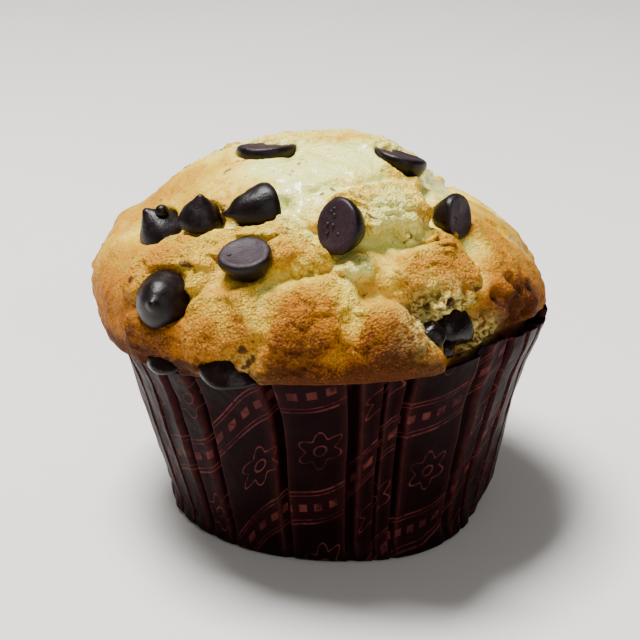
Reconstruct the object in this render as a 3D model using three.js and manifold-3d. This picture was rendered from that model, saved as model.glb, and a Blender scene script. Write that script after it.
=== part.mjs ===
// A chocolate chip muffin, baked and served in a pleated paper case.
//
// Millimetres, +Z up. The origin is the middle of the case's flat underside, and -Y is the front, where the
// crust has broken open beside a cleft. The cake is one solid, each chocolate chip is a solid in a pocket of
// the crust, and the case is a thin cup of paper. Azimuths run from the front (0) to the right (90),
// elevations from the level up, both in degrees and seen from the heart of the dome.
import * as THREE from "three";
import { mergeVertices } from "three/addons/utils/BufferGeometryUtils.js";
import Module from "manifold-3d";

// ---- driving dimensions ----
const GAP = 0.3; // between neighbours

const PAPER = 0.5;
const CASE_HEIGHT = 36;
const CASE_FOOT_R = 28.9;
const CASE_RIM_R = 38.1;
const CASE_LEAN = -1.0; // the rim's centre against the foot's, along X
const CASE_EDGE = 0.7; // the bend between floor and wall
const CASE_WAIST = 1.1; // how far the wall is drawn in between foot and rim
const WAIST_LOW = 4;
const WAIST_HIGH = 28;
const PLEAT_DEPTH = 2.0; // at the rim
const FLOOR_FOLDED = 0.4; // the share of a fold's depth that is left at the floor
const WIDE_PANEL = 12; // degrees: a panel wider than this is rounded
const RIM_UNEVEN = 0.6;
const SPARE = 1.1; // how much more than the deepest fold is kept clear of the cake
const LEDGE_Z = 24; // where the case is full again below the pleated rim
const FLOOR_INSET = 4; // how far the cake keeps from the wall at the floor

const HEART_Z = 40; // the height on the axis that the crust's radii are measured from
const FACE_R = 36; // the mean radius of the crust, which turns directions into distances along it
const LIP_LOW = -9.5; // the elevation of the lip's lower edge
const LIP_UNDER = 4; // degrees over which the lip's underside runs back to the case
const PLUG_CORNER = 12; // the higher, the sharper the lower edge of the cake
const CAKE_DETAIL = 14; // 20 * (detail + 1) ** 2 triangles, before the pockets are cut
const PLATE_EDGE = [0.68, 1.14]; // where a plate begins to fall off and where it ends, in shares of its half
const WANDER = 1.2; // how far the edges of plates and tears stray
const UNEVEN_COARSE = 0.35;
const UNEVEN_FINE = 0.25;

const CHIP_R = 4.4; // the flat base of a chip of size 1
const CHIP_H = 6.4;

// Places where one thing is a little different: where it is, how wide it is, and how much it does.
const RIM_LIFTS = [
  { azimuth: -46, spread: 24, amount: -1.8 }, // the lip has pressed the rim down
  { azimuth: 0, spread: 28, amount: 1.3 },
  { azimuth: 50, spread: 20, amount: 2.4 },
];
const LIP_LIFTS = [
  { azimuth: 8, spread: 62, amount: 5.8 }, // the lip's lower edge is higher
  { azimuth: 132, spread: 24, amount: 4.8 },
];
const WALL_DENT = { azimuth: 86, spread: 24, amount: 0.5, z: 21, height: 7 }; // the wall is drawn in more
const FOOT_SHIFTS = [
  { azimuth: 28, spread: 22, amount: 1.4 },
  { azimuth: 74, spread: 20, amount: -1.9 },
];
const FOOT_SHIFTED_TO = 5; // the height at which the wall is round again

const wasm = await Module();
wasm.setup();

// ---- small tools ----
const rad = THREE.MathUtils.degToRad;
const deg = THREE.MathUtils.radToDeg;
const { smoothstep, lerp, clamp } = THREE.MathUtils;

function direction(azimuth, elevation) {
  const a = rad(azimuth);
  const e = rad(elevation);
  return new THREE.Vector3(Math.sin(a) * Math.cos(e), -Math.cos(a) * Math.cos(e), Math.sin(e));
}

// How strongly a local difference is felt at an azimuth, from 0 to its amount.
function locally({ azimuth, spread, amount }, at) {
  const turn = ((((at - azimuth) % 360) + 540) % 360) - 180;
  return amount * Math.exp(-((turn / spread) ** 2));
}

// A repeatable random sequence from 0 to 1.
function randomFrom(seed) {
  let state = seed;
  return () => {
    state = (Math.imul(state, 1664525) + 1013904223) >>> 0;
    return state / 4294967296;
  };
}

// Smooth noise from -1 to 1, on a lattice of cells of a size.
function latticeValue(i, j, k) {
  let h = Math.imul(i, 374761393) ^ Math.imul(j, 668265263) ^ Math.imul(k, 1103515245);
  h = Math.imul(h ^ (h >>> 13), 1274126177);
  return ((h ^ (h >>> 16)) >>> 0) / 2147483648 - 1;
}

function noise(p, size, shift) {
  const q = [p.x / size + shift, p.y / size + shift, p.z / size + shift];
  const cell = q.map(Math.floor);
  const [u, v, w] = q.map((x, n) => smoothstep(x - cell[n], 0, 1));
  const at = (i, j, k) => latticeValue(cell[0] + i, cell[1] + j, cell[2] + k);
  const row = (j, k) => lerp(at(0, j, k), at(1, j, k), u);
  return lerp(lerp(row(0, 0), row(1, 0), v), lerp(row(0, 1), row(1, 1), v), w);
}

function solidOf(geometry) {
  const bare = geometry.clone();
  bare.deleteAttribute("normal");
  bare.deleteAttribute("uv");
  const merged = mergeVertices(bare, 1e-4);
  const vertProperties = new Float32Array(merged.attributes.position.array);
  return new wasm.Manifold(
    new wasm.Mesh({ numProp: 3, vertProperties, triVerts: new Uint32Array(merged.index.array) }),
  );
}

// Cutting can leave loose scraps, so only the largest piece is kept.
function geometryOf(solid) {
  const [largest] = solid.decompose().sort((a, b) => b.volume() - a.volume());
  const { vertProperties, triVerts } = largest.getMesh();
  const geometry = new THREE.BufferGeometry();
  geometry.setAttribute("position", new THREE.BufferAttribute(vertProperties, 3));
  geometry.setIndex(new THREE.BufferAttribute(triVerts, 1));
  geometry.computeVertexNormals();
  return geometry;
}

// A closed body from rings of points, with one point on the axis before the first and after the last.
// Where the rings come down again inside a wall, the quads are split the other way, so the two faces match.
function bodyOfRings(rings, first, last) {
  const n = rings[0].length;
  const positions = [...rings.flat(), first, last].flatMap((p) => p.toArray());
  const start = rings.length * n;
  const index = [];
  for (let i = 0; i < n; i++) {
    const next = (i + 1) % n;
    for (let r = 0; r + 1 < rings.length; r++) {
      const [a, b] = [r * n + i, r * n + next];
      const down = rings[r + 1][i].z < rings[r][i].z;
      index.push(...(down ? [a, b, a + n, b, b + n, a + n] : [a, b, b + n, a, b + n, a + n]));
    }
    index.push(start, next, i, start + 1, start - n + i, start - n + next);
  }
  const geometry = new THREE.BufferGeometry();
  geometry.setAttribute("position", new THREE.Float32BufferAttribute(positions, 3));
  geometry.setIndex(index);
  geometry.computeVertexNormals();
  return geometry;
}

// ---- the case: one sheet of paper pressed into pleats, some panels pushed wide open by the batter ----
// Each fold between two panels: its azimuth, half its width in mm, and its depth against PLEAT_DEPTH.
const FRONT_FOLDS = [
  [-77, 0.8, 1], [-64, 0.8, 1], [-54.5, 0.6, 0.6], [-45, 1.2, 1], [-34.8, 1.1, 1], [-13.9, 1.1, 1.1],
  [6.7, 1.2, 1.1], [14, 0.5, 0.6], [20.2, 0.9, 1], [41.8, 1.4, 0.7], [50.5, 0.9, 1], [59.3, 0.8, 0.8],
  [68, 0.7, 1], [78, 0.7, 1],
];

function backFolds() {
  const random = randomFrom(7);
  const folds = [];
  for (let azimuth = 90; azimuth < 275; azimuth += lerp(9, 17, random())) {
    folds.push([azimuth, lerp(0.7, 1.3, random()), lerp(0.7, 1.1, random())]);
  }
  return folds;
}

// A fold is a narrow V. A wide panel has one more column of points in its middle, so that it stays round.
function caseColumns() {
  const random = randomFrom(21);
  const folds = [...FRONT_FOLDS, ...backFolds()];
  return folds.flatMap(([azimuth, half, depth], n) => {
    const next = n + 1 < folds.length ? folds[n + 1][0] : folds[0][0] + 360;
    const side = deg(half / lerp(CASE_FOOT_R, CASE_RIM_R, 0.5));
    const rise = lerp(-RIM_UNEVEN, RIM_UNEVEN, random());
    const columns = [
      { azimuth: azimuth - side, fold: 0, rise: 0 },
      { azimuth, fold: depth, rise: -RIM_UNEVEN / 2 },
      { azimuth: azimuth + side, fold: 0, rise },
    ];
    if (next - azimuth > WIDE_PANEL) columns.push({ azimuth: (azimuth + next) / 2, fold: 0, rise });
    return columns;
  });
}

function caseRadius(z, azimuth) {
  const cone = lerp(CASE_FOOT_R, CASE_RIM_R, z / CASE_HEIGHT);
  const waist = CASE_WAIST * smoothstep(z, 0, WAIST_LOW) * (1 - smoothstep(z, WAIST_HIGH, CASE_HEIGHT));
  const dent = locally(WALL_DENT, azimuth) * Math.exp(-(((z - WALL_DENT.z) / WALL_DENT.height) ** 2));
  const foot = FOOT_SHIFTS.reduce((sum, shift) => sum + locally(shift, azimuth), 0);
  return cone - waist - dent + foot * (1 - smoothstep(z, 0, FOOT_SHIFTED_TO));
}

const foldDepth = (z) => PLEAT_DEPTH * lerp(0.35, 1, smoothstep(z, 0, CASE_HEIGHT * 0.6));
const caseAxis = (z) => CASE_LEAN * (z / CASE_HEIGHT);
const rimHeight = (azimuth) => RIM_LIFTS.reduce((sum, lift) => sum + locally(lift, azimuth), CASE_HEIGHT);

function pointOfCase(z, azimuth, inset) {
  const out = direction(azimuth, 0).multiplyScalar(caseRadius(z, azimuth) - inset);
  return new THREE.Vector3(out.x + caseAxis(z), out.y, z);
}

function caseGeometry() {
  const columns = caseColumns();
  const ring = (level, inset, foldShare = 1) =>
    columns.map(({ azimuth, fold, rise }) => {
      const z = level === "rim" ? rimHeight(azimuth) + rise : level;
      return pointOfCase(z, azimuth, inset + fold * foldDepth(z) * foldShare);
    });
  const wall = [CASE_EDGE, WAIST_LOW, WALL_DENT.z, WAIST_HIGH, "rim"];
  const rings = [
    ring(0, CASE_EDGE, FLOOR_FOLDED),
    ...wall.map((level) => ring(level, 0)),
    ...wall.toReversed().map((level) => ring(level, PAPER)),
    ring(PAPER, CASE_EDGE, FLOOR_FOLDED),
  ];
  return bodyOfRings(rings, new THREE.Vector3(0, 0, 0), new THREE.Vector3(0, 0, PAPER));
}

// The room that the pleated wall takes up: the cake is cut by it where the lip hangs over the rim.
function caseRoom() {
  const steps = 48;
  const inner = (z) => PAPER + GAP + foldDepth(z) * SPARE;
  const outer = () => -GAP;
  const ring = (level, inset) =>
    Array.from({ length: steps }, (_, i) => {
      const azimuth = (i * 360) / steps - 180;
      const z = level === "rim" ? rimHeight(azimuth) + RIM_UNEVEN + GAP : level;
      return pointOfCase(z, azimuth, inset(z));
    });
  const floor = PAPER + GAP;
  const rings = [
    ring(-1, outer),
    ring("rim", outer),
    ring("rim", inner),
    ring(LEDGE_Z, inner),
    ring(floor, () => FLOOR_INSET),
  ];
  return bodyOfRings(rings, new THREE.Vector3(0, 0, -1), new THREE.Vector3(0, 0, floor));
}

// ---- the cake: a plug that fills the case, under a risen dome whose crust has torn into plates ----
// The dome's radius at each elevation, towards the left (-X), the front (-Y), the right and the back.
const DOME_ELEVATIONS = [-10, 0, 12, 24, 36, 50, 65, 90];
const DOME = {
  left: [40.0, 41.0, 38.3, 34.0, 31.4, 28.6, 26.0, 24.6],
  front: [39.6, 40.0, 36.6, 31.6, 28.9, 26.9, 25.6, 24.6],
  right: [36.8, 36.1, 32.8, 28.6, 26.2, 25.2, 25.6, 24.6],
  back: [38.7, 38.9, 36.0, 31.2, 28.8, 27.0, 25.7, 24.6],
};

// Plates of risen crust. at: azimuth and elevation of the middle; half: half width and half height in mm;
// rise: how far it stands out; turn: degrees that its right end is turned up.
const FRONT_PLATES = [
  { at: [20, 42], half: [9.5, 6.0], rise: 2.7, turn: 0 }, // the tall block under the top
  { at: [35, 37], half: [5.5, 6.0], rise: 2.5, turn: 6 },
  { at: [-10, 27], half: [6.5, 4.6], rise: 1.5, turn: -12 }, // between the two middle chips
  { at: [6, 22], half: [4.0, 2.2], rise: 1.1, turn: 8 },
  { at: [-26, 33], half: [6.5, 2.6], rise: 1.9, turn: 20 }, // the ledge that the left-hand chips lie behind
  { at: [-36, 26.5], half: [5.5, 3.4], rise: 1.7, turn: 8 },
  { at: [-47, 21], half: [6.3, 3.8], rise: 2.1, turn: 14 },
  { at: [-47, 15.5], half: [8.0, 4.2], rise: 1.4, turn: 8 },
  { at: [-24, 9.5], half: [7.5, 4.4], rise: 1.9, turn: 22 },
  { at: [-38, 1], half: [11, 3.4], rise: 0.9, turn: 0 },
  { at: [-4, 11.5], half: [7.4, 5.8], rise: 2.5, turn: 10 }, // the middle plate, and its lip below
  { at: [-9, 3], half: [8.5, 4.6], rise: 1.7, turn: 0 },
  { at: [13, 5.5], half: [7.6, 4.6], rise: 2.9, turn: -18 }, // the tongue beside the cleft, and its corner
  { at: [20, 2.6], half: [3.4, 2.8], rise: 3.2, turn: -35 },
  { at: [31, 20], half: [8.5, 5.0], rise: 2.8, turn: 6 }, // the block that hangs over the cleft
  { at: [33, 14], half: [6.5, 2.4], rise: 3.0, turn: 0 },
  { at: [66, 20], half: [6.5, 6.5], rise: 0.6, turn: 0 },
  { at: [-88, 10], half: [9, 6], rise: 0.9, turn: 0 },
];

// Tears and dips in the crust, each along a line of azimuths and elevations.
const FRONT_TEARS = [
  { along: [[-22, 43], [-29, 36], [-41, 31.5], [-62, 24], [-76, 20]], width: 2.3, depth: 2.0 },
  { along: [[-8, 32], [12, 30], [33, 30]], width: 2.2, depth: 2.2 },
  { along: [[33, 30], [46, 34], [51, 41], [73, 48], [88, 52]], width: 1.6, depth: 2.4 },
  { along: [[8, 29], [-2, 21], [3, 18], [8, 14.5], [4.5, 9], [-1, 1]], width: 1.6, depth: 1.6 },
  { along: [[-2, 21], [-12, 20], [-18.5, 15], [-15.5, 9], [-17, 1]], width: 1.6, depth: 1.7 },
  { along: [[8, 14.5], [16, 14], [20.5, 8.5], [25, 3]], width: 1.7, depth: 2.0 },
  { along: [[25.5, 7], [34, 4.5], [31, -2]], width: 3.2, depth: 4.2 }, // the cleft
  { along: [[34, 0], [52, -2]], width: 5, depth: 2.4 },
  { along: [[84, 47], [102, 37], [118, 24]], width: 7, depth: 2.4 }, // the shoulder behind the tall block
  { along: [[-134, 45], [-119, 33]], width: 6, depth: 1.6 },
  { along: [[142, 30], [130, 21], [116, 14]], width: 8, depth: 2.8 },
  { along: [[56, 25], [49, 17], [41, 9.5], [38, 5]], width: 1.8, depth: 2.0 },
  { along: [[-9, 50], [0, 54], [25, 56.5], [55, 53]], width: 1.6, depth: 0.9 },
  { along: [[-44, -4.5], [-22, -3.5]], width: 1.5, depth: 0.9 }, // under the lip, where two chips show
];

// The far side of the crust has plates and tears of the same kind, by a rule.
function backPlates() {
  const random = randomFrom(5);
  return Array.from({ length: 17 }, (_, n) => {
    const azimuth = lerp(112, 248, (n * 0.618) % 1) + lerp(-5, 5, random());
    const elevation = [5, 14, 24, 35][n % 4] + lerp(-4, 4, random());
    const half = [lerp(6, 9, random()), lerp(4, 6, random())];
    return { at: [azimuth, elevation], half, rise: lerp(1, 2.3, random()), turn: lerp(-20, 20, random()) };
  });
}

function backTears() {
  const random = randomFrom(12);
  return Array.from({ length: 8 }, (_, n) => {
    const azimuth = 102 + n * 21 + lerp(-5, 5, random());
    const elevation = [3, 26, 14][n % 3];
    const along = [0, 1, 2].map((k) => [azimuth + k * lerp(-9, 9, random()), elevation + k * 8]);
    return { along, width: lerp(1.6, 2.3, random()), depth: lerp(1.2, 2.2, random()) };
  });
}

const PLATES = [...FRONT_PLATES, ...backPlates()].map(({ at, half, rise, turn }) => {
  const out = direction(...at);
  const right = direction(at[0] + 90, 0);
  const up = new THREE.Vector3().crossVectors(out, right);
  for (const axis of [right, up]) axis.applyAxisAngle(out, rad(turn));
  return { out, right, up, half, rise };
});

const TEARS = [...FRONT_TEARS, ...backTears()].map(({ along, width, depth }) => {
  const points = along.map((at) => direction(...at).multiplyScalar(FACE_R));
  return { points, width, depth };
});

// A plate is flat on top and falls off steeply at its edge.
function plateRise({ out, right, up, half, rise }, p) {
  if (out.dot(p) < FACE_R / 2) return 0;
  const u = Math.abs(right.dot(p)) / half[0];
  const v = Math.abs(up.dot(p)) / half[1];
  return rise * (1 - smoothstep(Math.cbrt(u ** 3 + v ** 3), ...PLATE_EDGE));
}

const part = new THREE.Line3();
const nearest = new THREE.Vector3();

function tearDepth({ points, width, depth }, p) {
  let reach = Infinity;
  for (let n = 1; n < points.length; n++) {
    part.set(points[n - 1], points[n]).closestPointToPoint(p, true, nearest);
    reach = Math.min(reach, nearest.distanceTo(p));
  }
  return depth * Math.exp(-((reach / width) ** 2));
}

// How far the crust stands out in a direction, from its plates, its tears and small unevenness.
function relief(out) {
  const p = out.clone().multiplyScalar(FACE_R);
  const wander = new THREE.Vector3(noise(p, 5, 11), noise(p, 5, 37), noise(p, 5, 71));
  const q = p.clone().addScaledVector(wander, WANDER);
  const plates = PLATES.reduce((sum, plate) => sum + plateRise(plate, q) ** 4, 0) ** 0.25;
  const tears = TEARS.reduce((deepest, tear) => Math.max(deepest, tearDepth(tear, q)), 0);
  return plates - tears + UNEVEN_COARSE * noise(p, 6, 5) + UNEVEN_FINE * noise(p, 3, 91);
}

// A curve through the values at DOME_ELEVATIONS.
function splineAt(values, elevation) {
  const e = clamp(elevation, DOME_ELEVATIONS[0], 90);
  let n = 0;
  while (n < DOME_ELEVATIONS.length - 2 && e > DOME_ELEVATIONS[n + 1]) n++;
  const t = (e - DOME_ELEVATIONS[n]) / (DOME_ELEVATIONS[n + 1] - DOME_ELEVATIONS[n]);
  const [a, b, c, d] = [n - 1, n, n + 1, n + 2].map((i) => values[clamp(i, 0, values.length - 1)]);
  const squared = (2 * a - 5 * b + 4 * c - d) * t ** 2;
  const cubed = (3 * b - a - 3 * c + d) * t ** 3;
  return 0.5 * (2 * b + (c - a) * t + squared + cubed);
}

function domeRadius(azimuth, elevation) {
  const s = Math.sin(rad(azimuth));
  const c = Math.cos(rad(azimuth));
  const across = splineAt(s > 0 ? DOME.right : DOME.left, elevation);
  const along = splineAt(c > 0 ? DOME.front : DOME.back, elevation);
  return across * s ** 2 + along * c ** 2;
}

// The wall and the floor of the part inside the case, seen from the heart, with a round edge between them.
function plugRadius(elevation) {
  const drop = -Math.tan(rad(Math.min(elevation, -1)));
  const slope = (CASE_RIM_R - CASE_FOOT_R) / CASE_HEIGHT;
  const inset = PAPER + GAP * 2 + PLEAT_DEPTH * SPARE + CASE_WAIST;
  const wall = (CASE_FOOT_R - inset + HEART_Z * slope) / (1 + slope * drop);
  const floor = (HEART_Z - PAPER - GAP * 1.5) / drop;
  const level = (wall ** -PLUG_CORNER + floor ** -PLUG_CORNER) ** (-1 / PLUG_CORNER);
  return level / Math.cos(rad(elevation));
}

// The crust's point in a direction from the heart.
function crustPoint(azimuth, elevation) {
  const out = direction(azimuth, elevation);
  const low = LIP_LIFTS.reduce((sum, lift) => sum + locally(lift, azimuth), LIP_LOW);
  const risen = smoothstep(elevation, low - LIP_UNDER, low);
  let r = plugRadius(elevation);
  if (risen > 0) {
    const shown = smoothstep(elevation, low - LIP_UNDER, low + 6);
    r = lerp(r, domeRadius(azimuth, elevation) + relief(out) * shown, risen);
  }
  const p = new THREE.Vector3(0, 0, HEART_Z).addScaledVector(out, r);
  p.x += caseAxis(p.z) * (1 - risen);
  return p;
}

// A globe of even triangles, most of them drawn up into the dome, pushed out to the crust.
function cakeGeometry() {
  const globe = new THREE.IcosahedronGeometry(1, CAKE_DETAIL);
  const points = globe.attributes.position;
  const p = new THREE.Vector3();
  const share = 138; // degrees from the top of the globe that become the dome
  const reach = 90 - LIP_LOW + LIP_UNDER; // degrees from the top of the cake that are the dome
  for (let i = 0; i < points.count; i++) {
    p.fromBufferAttribute(points, i).normalize();
    const fromTop = deg(Math.acos(clamp(p.z, -1, 1)));
    const below = (fromTop - share) / (180 - share);
    const moved = below < 0 ? (fromTop * reach) / share : lerp(reach, 180, below);
    const q = crustPoint(deg(Math.atan2(p.x, -p.y)), clamp(90 - moved, -89.999, 90));
    points.setXYZ(i, q.x, q.y, q.z);
  }
  return globe;
}

// ---- chocolate chips: poured drops with a flat base, round shoulders and a small tip ----
// Outlines from the middle of the base to the tip, as shares of the base's radius and of the height.
const CHIP_OUTLINE = [
  [0, 0], [0.92, 0], [1, 0.12], [0.95, 0.3], [0.72, 0.56], [0.36, 0.8], [0.17, 0.94], [0, 1],
];
const CHIP_SIDES = 12;
const PLUMP_H = 0.9; // the round side ends a little under the tip, so that a small tip is left
const POCKET_OUTLINE = [[0, 0], [1, 0], [1, 0.34], [0.58, 0.74], [0, 1.08]];
const POCKET_SIDES = 9;

// Each chip. at: azimuth and elevation on the crust; out: how far its middle stands out of the crust;
// tip: azimuth and elevation that its tip points to; size: against CHIP_R and CHIP_H;
// tall: its height, where it is longer or has melted flatter; plump: how round its tapering side is.
const CHIPS = [
  { name: "top_left", at: [-87, 62], out: -3.7, tip: [14, -80], size: 1.17 },
  { name: "top_right", at: [70, 60], out: -2.4, tip: [-56, -73], size: 1.04, plump: 0.85 },
  { name: "left_nub", at: [-68, 23.5], out: 1.9, tip: [-80, 55], size: 1.0, plump: 0.8 },
  { name: "left_drop", at: [-51.5, 33.3], out: 1.2, tip: [10, 80], size: 0.86 },
  { name: "lying", at: [-34, 38], out: 1.4, tip: [-70, -4], size: 0.95, tall: 1.35, plump: 0.9 },
  { name: "middle", at: [6, 34.5], out: 1.2, tip: [133, -18], size: 0.98 },
  { name: "right_shoulder", at: [55, 34], out: 0.3, tip: [-123, -10], size: 0.84, plump: 0.95 },
  { name: "flat_up", at: [-24.5, 20.9], out: 0.4, tip: [155, -70], size: 0.97, plump: 0.85 },
  { name: "left_dome", at: [-42.5, 8.8], out: 2.1, tip: [-15, 13], size: 1.15, plump: 0.8 },
  { name: "under_lip_left", at: [-43, -3.4], out: -3.0, tip: [-50, 76], size: 1.0, tall: 0.62 },
  { name: "under_lip_middle", at: [-23.5, -0.8], out: -2.6, tip: [10, 72], size: 1.15, tall: 0.6 },
  { name: "cleft", at: [31, 2.4], out: -0.8, tip: [-30, -8], size: 0.95, plump: 0.9 },
  { name: "cleft_small", at: [23, 4.2], out: -0.6, tip: [-40, 10], size: 0.55 },
  { name: "back_1", at: [124, 3.5], out: -0.8, tip: [110, 38], size: 0.9 },
  { name: "back_2", at: [143, 3], out: -1.9, tip: [320, -22], size: 0.98 },
  { name: "back_3", at: [160, 3], out: -1.8, tip: [340, -20], size: 1.08 },
  { name: "back_4", at: [165, 20], out: 0.3, tip: [120, 48], size: 0.9 },
  { name: "back_5", at: [181, 38], out: -2.1, tip: [2, -60], size: 1.0 },
  { name: "back_6", at: [184, 8], out: 0.9, tip: [190, 24], size: 1.04 },
  { name: "back_7", at: [197, 22], out: 0.2, tip: [300, 8], size: 0.94 },
  { name: "back_8", at: [214, 5], out: -0.6, tip: [60, -40], size: 0.98 },
  { name: "back_9", at: [221, 23], out: -3.4, tip: [42, -48], size: 1.05 },
];

// A drop with its middle at the origin and its tip along +Z. A lathe turns about Y, so it is laid over.
function dropGeometry(outline, sides, { size, tall = 1, plump = 0 }, grown = 0) {
  const corner = grown ? 1 / Math.cos(Math.PI / sides) : 1;
  const points = outline.map(([share, h]) => {
    const full = Math.max(share, plump * Math.sqrt(Math.max(0, 1 - (h / PLUMP_H) ** 2)));
    const radius = share === 0 ? 0 : (full * CHIP_R * size + grown) * corner;
    return new THREE.Vector2(radius, (h - 0.5) * CHIP_H * size * tall + grown * (h < 0.5 ? -1 : 1));
  });
  return new THREE.LatheGeometry(points, sides).rotateX(Math.PI / 2);
}

function placeOf({ at, out, tip }) {
  const middle = crustPoint(...at).addScaledVector(direction(...at), out);
  const turn = new THREE.Quaternion().setFromUnitVectors(new THREE.Vector3(0, 0, 1), direction(...tip));
  return { middle, turn };
}

// ---- assembly ----
const CHOCOLATE = new THREE.MeshStandardMaterial({ color: 0x2b1c1e, roughness: 0.38, metalness: 0 });
const CRUST = new THREE.MeshStandardMaterial({ color: 0xcf9a55, roughness: 0.7, metalness: 0 });
const WAXED_PAPER = new THREE.MeshStandardMaterial({ color: 0x2a1216, roughness: 0.45, metalness: 0 });

function namedMesh(name, geometry, material) {
  const mesh = new THREE.Mesh(geometry, material);
  mesh.name = name;
  return mesh;
}

const muffin = new THREE.Group();
let cake = solidOf(cakeGeometry()).subtract(solidOf(caseRoom()));

for (const chip of CHIPS) {
  const { middle, turn } = placeOf(chip);
  const mesh = namedMesh(`chip_${chip.name}`, dropGeometry(CHIP_OUTLINE, CHIP_SIDES, chip), CHOCOLATE);
  mesh.position.copy(middle);
  mesh.quaternion.copy(turn);
  mesh.updateMatrix();
  muffin.add(mesh);
  const pocket = dropGeometry(POCKET_OUTLINE, POCKET_SIDES, chip, GAP).applyMatrix4(mesh.matrix);
  cake = cake.subtract(solidOf(pocket));
}

muffin.add(namedMesh("cake", geometryOf(cake), CRUST));
muffin.add(namedMesh("paper_case", caseGeometry(), WAXED_PAPER));

export default muffin;
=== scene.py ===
import itertools
import math

import bpy
import numpy as np
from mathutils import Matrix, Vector


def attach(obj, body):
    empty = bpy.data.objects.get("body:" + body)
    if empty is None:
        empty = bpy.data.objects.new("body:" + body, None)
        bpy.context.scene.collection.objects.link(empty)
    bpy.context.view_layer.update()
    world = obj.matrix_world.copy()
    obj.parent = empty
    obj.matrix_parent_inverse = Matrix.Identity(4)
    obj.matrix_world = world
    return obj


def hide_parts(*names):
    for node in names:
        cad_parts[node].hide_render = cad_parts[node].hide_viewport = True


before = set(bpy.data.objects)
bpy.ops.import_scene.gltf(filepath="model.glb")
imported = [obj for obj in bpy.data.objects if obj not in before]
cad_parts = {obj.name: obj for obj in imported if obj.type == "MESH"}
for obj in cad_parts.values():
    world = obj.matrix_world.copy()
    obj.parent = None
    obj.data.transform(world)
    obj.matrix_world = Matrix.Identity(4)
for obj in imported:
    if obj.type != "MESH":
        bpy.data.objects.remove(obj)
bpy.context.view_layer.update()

# ---- table, light and camera ----
# A table top of painted board runs on past the view. One large soft lamp hangs over the muffin and a little behind
# it, a weak one stands in front, and a pale room is round them. The camera looks a little down from a short way off.
MM = 0.001


def linear(hex_colour):
    shares = [int(hex_colour[n:n + 2], 16) / 255 for n in (1, 3, 5)]
    return [s / 12.92 if s <= 0.04045 else ((s + 0.055) / 1.055) ** 2.4 for s in shares] + [1.0]


def add_node(tree, kind, settings=None, sockets=None):
    """Adds a node with its settings and links. A socket takes a number, a colour, another node or its output."""
    node = tree.nodes.new(kind)
    for name, value in (settings or {}).items():
        setattr(node, name, value)
    for name, value in (sockets or {}).items():
        if isinstance(value, bpy.types.Node):
            value = next(output for output in value.outputs if output.enabled)
        if isinstance(value, bpy.types.NodeSocket):
            tree.links.new(value, node.inputs[name])
        else:
            node.inputs[name].default_value = value
    return node


def new_tree(name):
    material = bpy.data.materials.new(name)
    material.use_nodes = True
    material.node_tree.nodes.clear()
    return material, material.node_tree


def cells_of(size):
    """The scale of a pattern on Object coordinates whose cells measure size millimetres."""
    return 1 / (size * MM)


COLOURS = {"data_type": "RGBA"}  # a Mix of colours: socket 6 is the first of them and socket 7 the second
bpy.ops.object.select_all(action="DESELECT")
bpy.ops.mesh.primitive_plane_add(size=6)
table = bpy.context.object
table.name = "table_top"
painted_board, tree = new_tree("painted_board")  # matt emulsion, rolled: no gloss, and hardly any grain
where = add_node(tree, "ShaderNodeTexCoord").outputs["Object"]
mottle = add_node(tree, "ShaderNodeTexNoise", sockets={"Vector": where, "Scale": cells_of(60), "Detail": 3.0})
tint = add_node(tree, "ShaderNodeMix", COLOURS, {"Factor": mottle, 6: linear("#dedbd6"), 7: linear("#e6e3de")})
paint = add_node(tree, "ShaderNodeBsdfPrincipled", sockets={"Base Color": tint, "Roughness": 0.75})
add_node(tree, "ShaderNodeOutputMaterial", sockets={"Surface": paint})
table.data.materials.append(painted_board)

LAMPS_AIM = Vector((0, 0, 0.03))
for name, place, width, power in (("lamp_above", (-0.16, 0.10, 0.72), 0.26, 15.0),
                                  ("lamp_front", (0.25, -0.9, 0.45), 0.6, 2.6)):
    lamp = bpy.data.objects.new(name, bpy.data.lights.new(name, "AREA"))
    lamp.data.size = width
    lamp.data.energy = power
    lamp.location = place
    lamp.rotation_euler = (LAMPS_AIM - Vector(place)).to_track_quat("-Z", "Y").to_euler()
    bpy.context.scene.collection.objects.link(lamp)

room = bpy.data.worlds.new("pale_room")
room.use_nodes = True
room.node_tree.nodes["Background"].inputs["Color"].default_value = linear("#f4f2ef")
room.node_tree.nodes["Background"].inputs["Strength"].default_value = 0.2
bpy.context.scene.world = room

CAMERA_RAISED = math.radians(21.3)
CAMERA_AWAY = 0.300
CAMERA_AIM = Vector((0, 0, 0.033))
CAMERA_FRAME = 640  # the frame's side in pixels, which the lens and the two shifts are given in
CAMERA_LENS = 1716
CAMERA_SHIFTS = (-12, -5)
camera = bpy.data.objects.new("camera", bpy.data.cameras.new("camera"))
camera.data.sensor_width = 36
camera.data.lens = CAMERA_LENS / CAMERA_FRAME * camera.data.sensor_width
camera.data.shift_x, camera.data.shift_y = (shift / CAMERA_FRAME for shift in CAMERA_SHIFTS)
back = Vector((0, -math.cos(CAMERA_RAISED), math.sin(CAMERA_RAISED)))
camera.location = CAMERA_AIM + back * CAMERA_AWAY
camera.rotation_euler = back.to_track_quat("Z", "Y").to_euler()
bpy.context.scene.collection.objects.link(camera)
bpy.context.scene.camera = camera

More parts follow.
